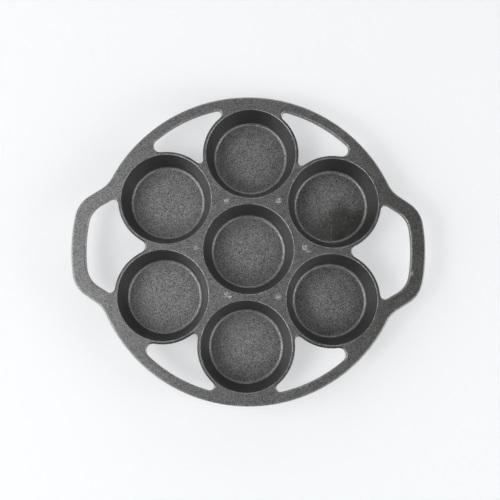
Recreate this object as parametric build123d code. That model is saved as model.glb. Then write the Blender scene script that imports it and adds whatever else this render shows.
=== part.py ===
from build123d import *
import os
from math import asin, cos, degrees, radians, sin, sqrt

# A seven-cup aebleskiver pan: one iron casting, in millimetres.
# It stands on the flat undersides of its cups. The origin is under the middle
# of the centre cup, +Z is up, +X runs along the handles and +Y to the back.
# The casting is shaped whole and then divided into its cups, rim and handles,
# which meet face to face.

# Names of the outer cups, anticlockwise from the first one after +X
outer_cup_names = (
    "back_right_cup",
    "back_cup",
    "back_left_cup",
    "front_left_cup",
    "front_cup",
    "front_right_cup",
)

# Driving dimensions of the cups
mouth_diameter = 72.7
floor_diameter = 60.1
cup_depth = 22.0
floor_thickness = 3.0
floor_corner_radius = 3.0
mouth_edge_radius = 0.5
base_edge_radius = 4.0

# Driving dimensions of the deck that joins the cups
web_width = 4.94
lip_width = 2.45
lip_ledge = 0.15
deck_thickness = 4.5
deck_edge_radius = 1.5
under_edge_radius = 0.8
window_notch_radius = 3.2
handle_notch_radius = 5.3

# Driving dimensions of the rim and its four windows
rim_land = 10.57
rim_band = 8.4
window_end_radius = 3.4
window_side_radius = 5.5

# Driving dimensions of the two handles, slopes in degrees from the X axis
handle_reach = 17.2
handle_bar = 11.8
handle_span = 68.8
handle_slope = 33.0
handle_corner_radius = 24.5
handle_blend_radius = 24.0
grip_span = 55.7
grip_slope = 31.0
grip_corner_radius = 20.0
grip_end_radius = 3.9

# Where the casting is divided, and how far a cut runs past what it cuts
collar_width = 3.7
handle_root_run = 13.0
overrun = 5.0
fit_tolerance = 0.01

# Sizes worked out from the driving dimensions
mouth_radius = mouth_diameter / 2
floor_radius = floor_diameter / 2
lip_radius = mouth_radius + lip_width
collar_radius = lip_radius + collar_width
pitch = mouth_diameter + web_width
pan_height = cup_depth + floor_thickness
deck_underside = pan_height - deck_thickness
wall_slope = (mouth_radius - floor_radius) / cup_depth
shell_top_radius = lip_radius - under_edge_radius - lip_ledge
shell_base_radius = shell_top_radius - wall_slope * deck_underside
rim_radius = pitch + mouth_radius + rim_land
window_radius = rim_radius - rim_band
handle_radius = rim_radius + handle_reach
grip_radius = handle_radius - handle_bar
sector_angle = 360 / len(outer_cup_names)
half_sector = radians(sector_angle / 2)


def polar(radius, angle):
    """A point of the plan, at an angle in degrees from +X."""
    return Vector(radius * cos(radians(angle)), radius * sin(radians(angle)))


def across(point):
    """The point mirrored in the X axis."""
    return Vector(point.X, -point.Y)


def cup_angle(index):
    return sector_angle * index + sector_angle / 2


def disc(centre, radius):
    return Pos(centre.X, centre.Y) * Circle(radius)


def sloping(slope):
    """Direction along a handle's upper side, towards the rim."""
    return Vector(-cos(radians(slope)), sin(radians(slope)))


def plan_of(points):
    return make_face(Polyline(*points, close=True))


def corners_at(plan, radius):
    """Corners of a plan that lie at a given distance from the origin."""
    return [v for v in plan.vertices() if abs(Vector(v.X, v.Y).length - radius) < fit_tolerance]


def notch_fill(angle, notch_radius):
    """Web that rounds off the notch between two neighbouring outer cups."""
    reach = sqrt((lip_radius + notch_radius) ** 2 - (pitch * sin(half_sector)) ** 2)
    notch = polar(pitch * cos(half_sector) + reach, angle)
    cup_before = polar(pitch, angle - sector_angle / 2)
    cup_after = polar(pitch, angle + sector_angle / 2)
    return plan_of([cup_before, notch, cup_after]) - disc(notch, notch_radius)


def cup_ring_plan():
    """Everything inside the lines between the middles of the outer cups."""
    return plan_of([polar(pitch, cup_angle(index)) for index in range(len(outer_cup_names))])


def hub_plan():
    """Lips of the outer cups and the webs among all the cups."""
    hub = cup_ring_plan()
    for index in range(len(outer_cup_names)):
        angle = sector_angle * index
        faces_handle = abs(sin(radians(angle))) < sin(half_sector)
        hub += disc(polar(pitch, cup_angle(index)), lip_radius)
        hub += notch_fill(angle, handle_notch_radius if faces_handle else window_notch_radius)
    return hub


def window_plans(hub):
    """The four windows, each between the rim and two neighbouring cups."""
    gaps = (Circle(window_radius) - hub).faces()
    windows = []
    for gap in [gap for gap in gaps if abs(gap.center().Y) > lip_radius]:
        window = Sketch() + gap
        end_corner = sorted(corners_at(window, window_radius), key=lambda corner: abs(corner.X))[0]
        window = fillet(end_corner, window_end_radius)
        side_corner = sorted(corners_at(window, window_radius), key=lambda corner: abs(corner.X))[-1]
        windows.append(fillet(side_corner, window_side_radius))
    return windows


def flared_plan(radius, span, slope):
    """Inside of an arc about the origin, between two sloping sides that meet it at a given span."""
    corner = polar(radius, degrees(asin(span / 2 / radius)))
    inward = sloping(slope)
    tip = corner - inward * overrun
    foot = corner + inward * ((corner.X - pitch * cos(half_sector)) / cos(radians(slope)))
    return plan_of([tip, foot, across(foot), across(tip)]) & Circle(radius)


def handle_plan():
    """Outside of the right handle, its corners rounded."""
    handle = flared_plan(handle_radius, handle_span, handle_slope)
    return fillet(corners_at(handle, handle_radius), handle_corner_radius)


def grip_plan(hub):
    """Opening of the right handle, from its bar to the lips of two cups."""
    opening = flared_plan(grip_radius, grip_span, grip_slope) - hub
    opening = fillet(corners_at(opening, grip_radius), grip_corner_radius)
    levels = opening.vertices().group_by(Axis.Y)
    return fillet(levels[0] + levels[-1], grip_end_radius)


def both_sides(plan):
    return [plan, mirror(plan, about=Plane.YZ)]


def deck():
    """Flat plate seen from above, with its outline, windows and handle openings."""
    hub = hub_plan()
    outline = Circle(rim_radius)
    for handle in both_sides(handle_plan()):
        outline += handle
    outline = fillet(corners_at(outline, rim_radius), handle_blend_radius)
    for opening in window_plans(hub) + both_sides(grip_plan(hub)):
        outline -= opening
    plate = extrude(Pos(0, 0, deck_underside) * outline, deck_thickness)
    plate = fillet(plate.edges().group_by(Axis.Z)[0], under_edge_radius)
    return fillet(plate.edges().group_by(Axis.Z)[-1], deck_edge_radius)


def cup_shell():
    """Outside of one cup below the deck: a short cone with a flat base."""
    profile = Polyline(
        (0, 0),
        (shell_base_radius, 0),
        (shell_top_radius, deck_underside),
        (shell_top_radius, pan_height - deck_thickness / 2),
        (0, pan_height - deck_thickness / 2),
        close=True,
    )
    face = make_face(profile)
    base_corner = face.vertices().sort_by_distance((shell_base_radius, 0))[0]
    return revolve(Plane.XZ * fillet(base_corner, base_edge_radius), Axis.Z)


def cup_cavity():
    """Inside of one cup: a straight tapered wall, a rounded corner and a flat floor."""
    profile = Polyline(
        (0, floor_thickness),
        (floor_radius, floor_thickness),
        (mouth_radius + wall_slope * overrun, pan_height + overrun),
        (0, pan_height + overrun),
        close=True,
    )
    face = make_face(profile)
    floor_corner = face.vertices().sort_by_distance((floor_radius, floor_thickness))[0]
    return revolve(Plane.XZ * fillet(floor_corner, floor_corner_radius), Axis.Z)


def casting():
    """The whole pan as it leaves the mould."""
    places = [Vector(0, 0)] + [polar(pitch, cup_angle(index)) for index in range(len(outer_cup_names))]
    pan = deck()
    for place in places:
        pan += Pos(place.X, place.Y) * cup_shell()
    for place in places:
        pan -= Pos(place.X, place.Y) * cup_cavity()
    mouths = [
        edge
        for edge in pan.edges().group_by(Axis.Z)[-1].filter_by(GeomType.CIRCLE)
        if abs(edge.radius - mouth_radius) < fit_tolerance
    ]
    return fillet(mouths, mouth_edge_radius)


def column(plan):
    """A plan drawn out through the full height of the pan."""
    return extrude(Pos(0, 0, -overrun) * plan, pan_height + overrun * 2)


def centre_cell():
    """Six-sided share of the deck round the centre cup."""
    corner_radius = pitch / 2 / cos(half_sector)
    return plan_of([polar(corner_radius, sector_angle * index) for index in range(len(outer_cup_names))])


def outer_cell(index):
    """Share of the deck round an outer cup: its collar and the webs on its side of each joint."""
    angle = cup_angle(index)
    wedge = plan_of(
        [
            Vector(0, 0),
            polar(handle_radius, angle - sector_angle / 2),
            polar(handle_radius / cos(half_sector), angle),
            polar(handle_radius, angle + sector_angle / 2),
        ]
    )
    zone = disc(polar(pitch, angle), collar_radius) + cup_ring_plan()
    return (zone & wedge) - centre_cell()


def handle_cell():
    """Right handle beyond the two root joints, which cross its sloping sides squarely."""
    slope = radians((handle_slope + grip_slope) / 2)
    outward = Vector(sin(slope), cos(slope))
    corner = polar(grip_radius, degrees(asin(grip_span / 2 / grip_radius)))
    root = corner + sloping(grip_slope) * handle_root_run
    inner = root - outward * overrun
    outer = root + outward * (handle_reach + overrun)
    end = Vector(handle_radius + overrun, outer.Y)
    return plan_of([inner, outer, end, across(end), across(outer), across(inner)])


def divide(pan):
    """Nodes of the pan by name."""
    nodes = {"centre_cup": pan & column(centre_cell())}
    rest = pan - column(centre_cell())
    for index, name in enumerate(outer_cup_names):
        cell = column(outer_cell(index))
        nodes[name] = pan & cell
        rest -= cell
    right_cell, left_cell = [column(plan) for plan in both_sides(handle_cell())]
    nodes["right_handle"] = pan & right_cell
    nodes["left_handle"] = pan & left_cell
    front_rim, back_rim = (rest - right_cell - left_cell).solids().sort_by(Axis.Y)
    nodes["front_rim"] = front_rim
    nodes["back_rim"] = back_rim
    return nodes


os.makedirs("parts", exist_ok=True)
for node_name, node in divide(casting()).items():
    export_step(node, f"parts/{node_name}.step")
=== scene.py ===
from functools import cached_property
from math import cos, radians, sin
from types import SimpleNamespace

import bpy
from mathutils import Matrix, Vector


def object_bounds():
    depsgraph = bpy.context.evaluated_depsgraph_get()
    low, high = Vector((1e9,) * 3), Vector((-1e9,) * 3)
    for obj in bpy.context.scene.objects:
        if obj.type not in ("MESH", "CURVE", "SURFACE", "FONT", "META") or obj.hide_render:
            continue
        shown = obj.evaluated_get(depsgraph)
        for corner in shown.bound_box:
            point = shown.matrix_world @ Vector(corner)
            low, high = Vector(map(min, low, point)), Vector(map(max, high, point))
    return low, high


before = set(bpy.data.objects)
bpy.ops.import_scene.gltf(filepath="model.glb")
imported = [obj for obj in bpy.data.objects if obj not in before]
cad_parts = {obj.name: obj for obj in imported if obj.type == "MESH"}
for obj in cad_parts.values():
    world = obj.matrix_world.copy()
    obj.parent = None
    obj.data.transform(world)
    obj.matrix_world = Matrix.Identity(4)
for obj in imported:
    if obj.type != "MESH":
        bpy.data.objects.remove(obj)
cad_low, cad_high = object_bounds()

# Lengths are in metres and angles in degrees throughout
MM = 0.001

# The pan: its cups and their lips, and the levels of its floors and deck
CUP_COUNT = 6
MOUTH_RADIUS = 36.35 * MM
FLOOR_RADIUS = 30.05 * MM
WEB_WIDTH = 4.94 * MM
LIP_WIDTH = 2.45 * MM
FLOOR_LEVEL = 3.0 * MM
DECK_LEVEL = cad_high.z
PITCH = MOUTH_RADIUS * 2 + WEB_WIDTH
LIP_RADIUS = MOUTH_RADIUS + LIP_WIDTH
WALL_SLOPE = (MOUTH_RADIUS - FLOOR_RADIUS) / (DECK_LEVEL - FLOOR_LEVEL)

# The photograph's camera, found from the hexagon of cups; its height is above the deck
CAMERA_PLACE = (0.059 * MM, -75.585 * MM, 693.612 * MM)
CAMERA_TURN = (6.1422, -0.2399, 1.3388)
CAMERA_LENS = 62.825
CAMERA_SENSOR = 36.0

# Each soft box: its turn from +X and its height, both as angles, its width, and its power in watts
LAMP_DISTANCE = 1.5
SOFT_BOXES = {
    "left_low": (180, 20, 1.0, 7.0),
    "left": (180, 45, 1.0, 1.0),
    "left_high": (180, 70, 1.0, 1.0),
    "left_back": (165, 45, 0.5, 1.5),
    "left_front": (195, 48, 0.5, 3.0),
    "left_front_high": (200, 58, 0.5, 1.0),
    "front_left": (210, 45, 0.5, 2.5),
    "front_left_high": (225, 52, 0.5, 0.5),
    "front_left_low": (225, 20, 1.0, 3.0),
    "back_left_low": (135, 20, 1.0, 1.5),
    "back_left_high": (135, 70, 1.0, 1.0),
    "right_low": (0, 20, 1.0, 2.0),
    "right_front_low": (345, 20, 1.0, 11.0),
    "front_right_low": (315, 20, 1.0, 1.0),
    "front_right": (315, 45, 1.0, 3.0),
    "back_right_low": (45, 20, 1.0, 1.5),
    "back_low": (90, 20, 1.0, 4.5),
}

# The studio: a round table and the wall round it, each with its colour and its share of even white
ROOM_RADIUS = 2.2
ROOM_HEIGHT = 2.5
ROOM_SIDES = 96
STUDIO_ROUGHNESS = 0.9
STUDIO_SURFACES = {
    "white_table": ((0.925, 0.935, 0.945), 0.44),
    "pale_wall": ((0.42, 0.43, 0.44), 0.55),
}
WALL_SLOT = 1
EVEN_WHITE = (0.955, 0.97, 0.98)

# Borders of the regions of a cup, each from where its share is 0 to where it is 1
PAST_WALL = (0.8 * MM, 0.5 * MM)
OVER_BASE = (FLOOR_LEVEL - 0.6 * MM, FLOOR_LEVEL - 0.2 * MM)
UNDER_CORNER_TOP = (FLOOR_LEVEL + 2.6 * MM, FLOOR_LEVEL + 1.6 * MM)
WALL_FOOT = (FLOOR_LEVEL + 1.0 * MM, FLOOR_LEVEL + 2.4 * MM)
WALL_TOP = (DECK_LEVEL - 0.1 * MM, DECK_LEVEL - 0.45 * MM)
FLOOR_REACH = (FLOOR_RADIUS + 0.5 * MM, FLOOR_RADIUS)
CORNER_REACH = (FLOOR_RADIUS - 2.6 * MM, FLOOR_RADIUS - 1.4 * MM)

# Borders of the regions of the deck: the mouth edge, lightened there as a painted highlight, and the
# slope round each lip, darkened there as painted shade
EDGE_RADIUS = MOUTH_RADIUS + 0.1 * MM
EDGE_HALF_WIDTH = 0.4 * MM
EDGE_FOOT = (DECK_LEVEL - 0.5 * MM, DECK_LEVEL - 0.25 * MM)
LIP_INSIDE = (MOUTH_RADIUS + 0.35 * MM, MOUTH_RADIUS + 0.7 * MM)
LIP_OUTSIDE = (LIP_RADIUS + 0.7 * MM, LIP_RADIUS + 0.2 * MM)
LIP_TOP = (DECK_LEVEL, DECK_LEVEL - 0.05 * MM)
LIP_FOOT = (DECK_LEVEL - 1.9 * MM, DECK_LEVEL - 1.5 * MM)

# Floors lighter in the middle and darker towards their walls, most towards -X and -Y, as painted light
# and painted shade; the left end lighter as painted light and the right end darker as painted shade
PAINTED_FLOOR_LIGHT_SHIFT = (4.5 * MM, 3.0 * MM)
PAINTED_FLOOR_LIGHT_REACH = (31 * MM, 12 * MM)
PAINTED_LIGHT_LEFT_END = (-80 * MM, -128 * MM)
PAINTED_SHADE_RIGHT_END = (60 * MM, 125 * MM)
WARM_END = (60 * MM, 120 * MM)

# Rough bright marks left on the deck where the iron was poured: place and size in millimetres
MARKS = (
    (-18.6, 38.7, 2.4),
    (23.2, 39.7, 2.6),
    (-42.4, 0.1, 2.2),
    (44.8, 2.2, 2.6),
    (47.6, -0.6, 1.6),
    (-16.6, -36.9, 2.2),
    (-14.2, -38.6, 1.4),
    (24.7, -37.5, 2.6),
    (35.5, 25.4, 1.4),
    (130.5, -16.7, 1.8),
)
MARK_FOOT = (DECK_LEVEL - 0.6 * MM, DECK_LEVEL - 0.3 * MM)
MARK_RAGGED = 7.0 * MM

# Film of oil on the floor of the back right cup
OIL_PLACE = (79.5 * MM, 23.5 * MM)
OIL_SIZE = 25.0 * MM
OIL_RAGGED = 22.0 * MM
OIL_TOP = (FLOOR_LEVEL + 1.0 * MM, FLOOR_LEVEL + 0.4 * MM)

# Full core of a mark or of the film, as a share of its size
SPOT_CORE = 0.3

# Each noise: size of its features, detail, roughness and seed
NOISES = {
    "grain": (0.68 * MM, 1.5, 0.6, 0.4),
    "swell": (5.0 * MM, 1.0, 0.5, 3.0),
    "mottle": (8.0 * MM, 4.0, 0.6, 7.0),
    "patches": (45.0 * MM, 2.0, 0.5, 17.0),
    "flecks": (0.56 * MM, 1.0, 0.5, 11.3),
    "specks": (2.2 * MM, 1.0, 0.5, 23.0),
    "mark_border": (1.0 * MM, 2.0, 0.5, 29.0),
    "oil_border": (14.0 * MM, 2.0, 0.5, 31.0),
}
NOISE_MIDDLE = 0.5

# Depth of the relief
CAST_GRAIN_DEPTH = 0.25 * MM
WALL_GRAIN_DEPTH = 0.007 * MM
SWELL_DEPTH = 0.07 * MM
MARK_DEPTH = 0.15 * MM

# Reflectance of the iron, and what multiplies it or is added to it in each region
DECK_SHADE = 0.066
FLOOR_SHADE = 0.065
WALL_SHADE = 0.015
# Painted light in the middle of each floor, and painted shade towards its walls
PAINTED_FLOOR_LIGHT_GAIN = 2.5
# Painted light at the left end, and painted shade at the right end
PAINTED_LIGHT_LEFT_GAIN = 1.35
PAINTED_SHADE_RIGHT_GAIN = 0.6
# Painted shade in the corner where each floor meets its wall
CORNER_PAINTED_SHADE = 0.95
# Painted highlight along the mouth edge of each cup
EDGE_PAINTED_HIGHLIGHT = 2.2
# Painted shade on the slope round each lip
LIP_PAINTED_SHADE = 0.25
OIL_GAIN = 0.22
MARK_SHADE = 0.17
SPECK_SHADE = 0.04
SPECK_RISE = (0.17, 0.23)

# How strongly each noise shows in the shade
MOTTLE_CONTRAST = 0.9
PATCH_CONTRAST = 0.5
FLECK_CONTRAST = 7.0
MARK_CONTRAST = 5.0
OILED_FLECKS = 0.4
DARKEST_FLECK = 0.1

# Warm tinge of the oil, and of the right end at half strength
WARM_TINT = {"Red": 1.05, "Green": 1.04, "Blue": 0.88}
END_WARMTH = 0.5

# Roughness of the regions, and what is added to it
CAST_ROUGHNESS = 0.32
WALL_ROUGHNESS = 0.33
MOTTLE_ROUGHNESS = 0.1
CORNER_ROUGHNESS = 0.07
EDGE_ROUGHNESS = -0.06
OIL_ROUGHNESS = -0.08

# Gloss of the regions, where 0.5 is the reflection that the index of refraction gives
REFRACTION = 2.0
DECK_GLOSS = 0.69
FLOOR_GLOSS = 0.62
WALL_GLOSS = 0.32
MEAN_GLOSS = 0.6
LEAST_GLOSS = 0.05
FLECK_GLOSS = 1.35
LIP_GLOSS_GAIN = 0.2


class Value:
    """A number that varies over a surface; sums with it add nodes to its material."""

    def __init__(self, tree, socket):
        self.tree = tree
        self.socket = socket

    def calc(self, operation, *others):
        node = self.tree.nodes.new("ShaderNodeMath")
        node.operation = operation
        for socket, value in zip(node.inputs, (self, *others)):
            feed(socket, value)
        return Value(self.tree, node.outputs["Value"])

    def __add__(self, other):
        return self.calc("ADD", other)

    def __sub__(self, other):
        return self.calc("SUBTRACT", other)

    def __mul__(self, other):
        return self.calc("MULTIPLY", other)

    def step(self, none, full):
        """Smooth step: 0 at one number and beyond it, 1 at another and beyond that."""
        node = self.tree.nodes.new("ShaderNodeMapRange")
        node.interpolation_type = "SMOOTHSTEP"
        feed(node.inputs["Value"], self)
        feed(node.inputs["From Min"], none)
        feed(node.inputs["From Max"], full)
        return Value(self.tree, node.outputs["Result"])

    def blend(self, low, high):
        """The low value where this share is 0, the high one where it is 1."""
        node = self.tree.nodes.new("ShaderNodeMix")
        feed(node.inputs["Factor"], self)
        feed(node.inputs["A"], low)
        feed(node.inputs["B"], high)
        return Value(self.tree, node.outputs["Result"])


class Surface:
    """Procedural material, with its textures in the pan's own frame."""

    def __init__(self, name):
        self.material = bpy.data.materials.new(name)
        self.material.use_nodes = True
        self.tree = self.material.node_tree
        self.shader = self.tree.nodes["Principled BSDF"]

    @cached_property
    def place(self):
        return self.add("TexCoord").outputs["Object"]

    def add(self, kind):
        return self.tree.nodes.new("ShaderNode" + kind)

    def set(self, name, value):
        feed(self.shader.inputs[name], value)

    def axes(self):
        """The three coordinates of a point of the surface."""
        node = self.add("SeparateXYZ")
        self.tree.links.new(self.place, node.inputs["Vector"])
        return [Value(self.tree, node.outputs[axis]) for axis in "XYZ"]

    def noise(self, name):
        """One of the named noises, as a value about zero."""
        size, detail, roughness, seed = NOISES[name]
        node = self.add("TexNoise")
        node.noise_dimensions = "4D"
        self.tree.links.new(self.place, node.inputs["Vector"])
        feed(node.inputs["W"], seed)
        feed(node.inputs["Scale"], 1 / size)
        feed(node.inputs["Detail"], detail)
        feed(node.inputs["Roughness"], roughness)
        return Value(self.tree, node.outputs[0]) - NOISE_MIDDLE

    def emboss(self, height):
        """Relief whose height is in metres."""
        node = self.add("Bump")
        feed(node.inputs["Distance"], 1.0)
        feed(node.inputs["Height"], height)
        self.tree.links.new(node.outputs["Normal"], self.shader.inputs["Normal"])

    def paint(self, shade, warmth):
        """Grey of a given shade, tinged where it is warm."""
        node = self.add("CombineColor")
        for name, tint in WARM_TINT.items():
            feed(node.inputs[name], shade * warmth.blend(1.0, tint))
        self.tree.links.new(node.outputs["Color"], self.shader.inputs["Base Color"])


def feed(socket, value):
    """Link a varying value to a socket, or set the socket to a plain one."""
    if isinstance(value, Value):
        value.tree.links.new(value.socket, socket)
    else:
        socket.default_value = value


def length(along, aside):
    return (along * along + aside * aside).calc("SQRT")


def highest(values):
    top = values[0]
    for value in values[1:]:
        top = top.calc("MAXIMUM", value)
    return top


def cup_reach(x, y):
    """Distance in plan from the axis of the nearest cup."""
    sector = radians(360 / CUP_COUNT)
    from_middle = length(x, y)
    turn = y.calc("ARCTAN2", x).calc("FLOORED_MODULO", sector) - sector / 2
    along = from_middle * turn.calc("COSINE") - PITCH
    aside = from_middle * turn.calc("SINE")
    return from_middle.calc("MINIMUM", length(along, aside))


def spot(x, y, place, size, border):
    """Share of a ragged round spot of the plan."""
    away = length(x - place[0], y - place[1]) + border
    return away.step(size, size * SPOT_CORE)


def cup_regions(x, y, z):
    """Shares of the wall, floor, floor corner, mouth edge and lip of the nearest cup."""
    reach = cup_reach(x, y)
    wall_reach = (z - FLOOR_LEVEL) * WALL_SLOPE + FLOOR_RADIUS
    within = (reach - wall_reach).step(*PAST_WALL)
    bottom = within * z.step(*OVER_BASE) * z.step(*UNDER_CORNER_TOP)
    beside_edge = (reach - EDGE_RADIUS).calc("ABSOLUTE")
    return SimpleNamespace(
        within=within * z.step(*OVER_BASE),
        wall=within * z.step(*WALL_FOOT) * z.step(*WALL_TOP),
        floor=bottom * reach.step(*FLOOR_REACH),
        corner=bottom * reach.step(*CORNER_REACH),
        edge=beside_edge.step(EDGE_HALF_WIDTH, 0.0) * z.step(*EDGE_FOOT),
        lip=reach.step(*LIP_INSIDE) * reach.step(*LIP_OUTSIDE) * z.step(*LIP_TOP) * z.step(*LIP_FOOT),
    )


def pour_marks(iron, x, y, z):
    """Share of the rough bright marks on the deck."""
    border = iron.noise("mark_border") * MARK_RAGGED
    spots = [spot(x, y, (mark_x * MM, mark_y * MM), size * MM, border) for mark_x, mark_y, size in MARKS]
    return highest(spots) * z.step(*MARK_FOOT)


def oil_film(iron, x, y, z, cup):
    """Share of the film of oil on one floor."""
    border = iron.noise("oil_border") * OIL_RAGGED
    return spot(x, y, OIL_PLACE, OIL_SIZE, border) * z.step(*OIL_TOP) * cup.within


def relief(iron, cup, marks):
    grain = iron.noise("grain") * cup.wall.blend(CAST_GRAIN_DEPTH, WALL_GRAIN_DEPTH)
    return grain + iron.noise("swell") * SWELL_DEPTH + marks * MARK_DEPTH


def seasoning_and_painted_light(iron, x, y, cup, mottle):
    """Reflectance of the seasoned iron with its painted light and painted shade, before its flecks and
    marks.
    """
    # Painted light and shade on each floor: paler in the middle, darker towards the walls as a painted
    # shadow, most towards -X and -Y
    painted_floor_light = cup.floor * cup_reach(x - PAINTED_FLOOR_LIGHT_SHIFT[0], y - PAINTED_FLOOR_LIGHT_SHIFT[1]).step(*PAINTED_FLOOR_LIGHT_REACH)
    shade = cup.wall.blend(cup.floor.blend(DECK_SHADE, FLOOR_SHADE), WALL_SHADE)
    shade *= painted_floor_light.blend(1.0, PAINTED_FLOOR_LIGHT_GAIN)
    shade *= mottle * MOTTLE_CONTRAST + 1.0
    shade *= iron.noise("patches") * PATCH_CONTRAST + 1.0
    # Painted light at the left end, painted shade at the right end
    shade *= x.step(*PAINTED_LIGHT_LEFT_END).blend(1.0, PAINTED_LIGHT_LEFT_GAIN)
    shade *= x.step(*PAINTED_SHADE_RIGHT_END).blend(1.0, PAINTED_SHADE_RIGHT_GAIN)
    # Painted shade in the corner where the floor meets the wall
    shade *= cup.corner.blend(1.0, CORNER_PAINTED_SHADE)
    # Painted highlight along the mouth edge
    shade *= cup.edge.blend(1.0, EDGE_PAINTED_HIGHLIGHT)
    # Painted shade on the lip slopes
    return shade * cup.lip.blend(1.0, LIP_PAINTED_SHADE)


def flecked(iron, shade, flecks, cast, marks, oil):
    """Shade with the flecks of the grain, the oil, the flaky marks and the scattered specks."""
    fleck_part = flecks * cast * oil.blend(1.0, OILED_FLECKS) * FLECK_CONTRAST
    shade *= (fleck_part + 1.0).calc("MAXIMUM", DARKEST_FLECK)
    shade *= oil.blend(1.0, OIL_GAIN)
    flaky = (flecks * MARK_CONTRAST + 1.0).calc("MAXIMUM", 0.0)
    specks = iron.noise("specks").step(*SPECK_RISE)
    return shade + marks * flaky * MARK_SHADE + specks * cast * SPECK_SHADE


def roughness(cup, mottle, oil):
    rough = mottle * MOTTLE_ROUGHNESS + cup.wall.blend(CAST_ROUGHNESS, WALL_ROUGHNESS)
    rough += cup.corner * CORNER_ROUGHNESS
    return rough + cup.edge * EDGE_ROUGHNESS + oil * OIL_ROUGHNESS


def gloss(cup, flecks, cast):
    plain = cup.wall.blend(cup.floor.blend(DECK_GLOSS, FLOOR_GLOSS), WALL_GLOSS)
    bright = flecks * cast * FLECK_GLOSS + plain
    return (bright * cup.lip.blend(1.0, LIP_GLOSS_GAIN)).calc("MAXIMUM", LEAST_GLOSS)


def make_iron():
    """Seasoned sand-cast iron, smoother and darker on the walls of the cups."""
    iron = Surface("sand_cast_iron")
    x, y, z = iron.axes()
    cup = cup_regions(x, y, z)
    # Everything but the smooth walls keeps the rough surface of the mould
    cast = cup.wall.blend(1.0, 0.0)
    marks = pour_marks(iron, x, y, z)
    oil = oil_film(iron, x, y, z, cup)
    mottle = iron.noise("mottle")
    flecks = iron.noise("flecks")
    shade = seasoning_and_painted_light(iron, x, y, cup, mottle)
    iron.paint(
        flecked(iron, shade, flecks, cast, marks, oil),
        highest([oil, x.step(*WARM_END) * END_WARMTH]),
    )
    iron.emboss(relief(iron, cup, marks))
    iron.set("Roughness", roughness(cup, mottle, oil))
    iron.set("IOR", REFRACTION)
    # The mean gloss stays in the socket, for viewers that can't follow the varying one
    iron.set("Specular IOR Level", MEAN_GLOSS)
    iron.set("Specular IOR Level", gloss(cup, flecks, cast))
    return iron.material


def add_even_white(surface, share):
    """Even white seen by the camera and in reflections, which lights nothing."""
    path = surface.add("LightPath")
    rays = ("Is Camera Ray", "Is Glossy Ray", "Is Transmission Ray")
    seen = highest([Value(surface.tree, path.outputs[ray]) for ray in rays])
    white = surface.add("Emission")
    white.inputs["Color"].default_value = (*EVEN_WHITE, 1)
    mix = surface.add("MixShader")
    feed(mix.inputs["Fac"], seen * share)
    links = surface.tree.links
    links.new(surface.shader.outputs["BSDF"], mix.inputs[1])
    links.new(white.outputs["Emission"], mix.inputs[2])
    links.new(mix.outputs["Shader"], surface.tree.nodes["Material Output"].inputs["Surface"])


def studio_mesh():
    """Round table under the pan, as the first face, and the wall round it as the others."""
    turns = [radians(360 * side / ROOM_SIDES) for side in range(ROOM_SIDES)]
    points = [
        (ROOM_RADIUS * cos(turn), ROOM_RADIUS * sin(turn), level)
        for level in (cad_low.z, cad_low.z + ROOM_HEIGHT)
        for turn in turns
    ]
    faces = [tuple(range(ROOM_SIDES))]
    for side in range(ROOM_SIDES):
        following = (side + 1) % ROOM_SIDES
        faces.append((side, side + ROOM_SIDES, following + ROOM_SIDES, following))
    mesh = bpy.data.meshes.new("studio")
    mesh.from_pydata(points, [], faces)
    for face in mesh.polygons[1:]:
        face.material_index = WALL_SLOT
    return mesh


def make_studio():
    """Round white table that meets a pale wall all round."""
    studio = bpy.data.objects.new("studio", studio_mesh())
    bpy.context.scene.collection.objects.link(studio)
    for name, (colour, white_share) in STUDIO_SURFACES.items():
        surface = Surface(name)
        surface.set("Base Color", (*colour, 1))
        surface.set("Roughness", STUDIO_ROUGHNESS)
        add_even_white(surface, white_share)
        studio.data.materials.append(surface.material)


def make_dark_room():
    """Dark surroundings, so that only the soft boxes light the pan."""
    world = bpy.data.worlds.new("room")
    world.use_nodes = True
    world.node_tree.nodes["Background"].inputs["Strength"].default_value = 0.0
    bpy.context.scene.world = world


def make_soft_box(name, turn, height, width, power):
    """Round lamp that faces the middle of the pan."""
    data = bpy.data.lights.new(name, "AREA")
    data.shape = "DISK"
    data.size = width
    data.energy = power
    lamp = bpy.data.objects.new(name, data)
    flat = LAMP_DISTANCE * cos(radians(height))
    rise = LAMP_DISTANCE * sin(radians(height))
    lamp.location = (flat * cos(radians(turn)), flat * sin(radians(turn)), rise)
    lamp.rotation_euler = (-lamp.location).to_track_quat("-Z", "Y").to_euler()
    lamp.visible_camera = False
    bpy.context.scene.collection.objects.link(lamp)


def make_camera():
    data = bpy.data.cameras.new("camera")
    data.sensor_width = CAMERA_SENSOR
    data.lens = CAMERA_LENS
    camera = bpy.data.objects.new("camera", data)
    across, along, above = CAMERA_PLACE
    camera.location = (across, along, DECK_LEVEL + above)
    camera.rotation_euler = [radians(angle) for angle in CAMERA_TURN]
    bpy.context.scene.collection.objects.link(camera)
    bpy.context.scene.camera = camera


bpy.context.scene.view_settings.view_transform = "Standard"
make_camera()
make_dark_room()
for name, (turn, height, width, power) in SOFT_BOXES.items():
    make_soft_box(name, turn, height, width, power)
make_studio()
iron = make_iron()
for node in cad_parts.values():
    node.data.materials.clear()
    node.data.materials.append(iron)
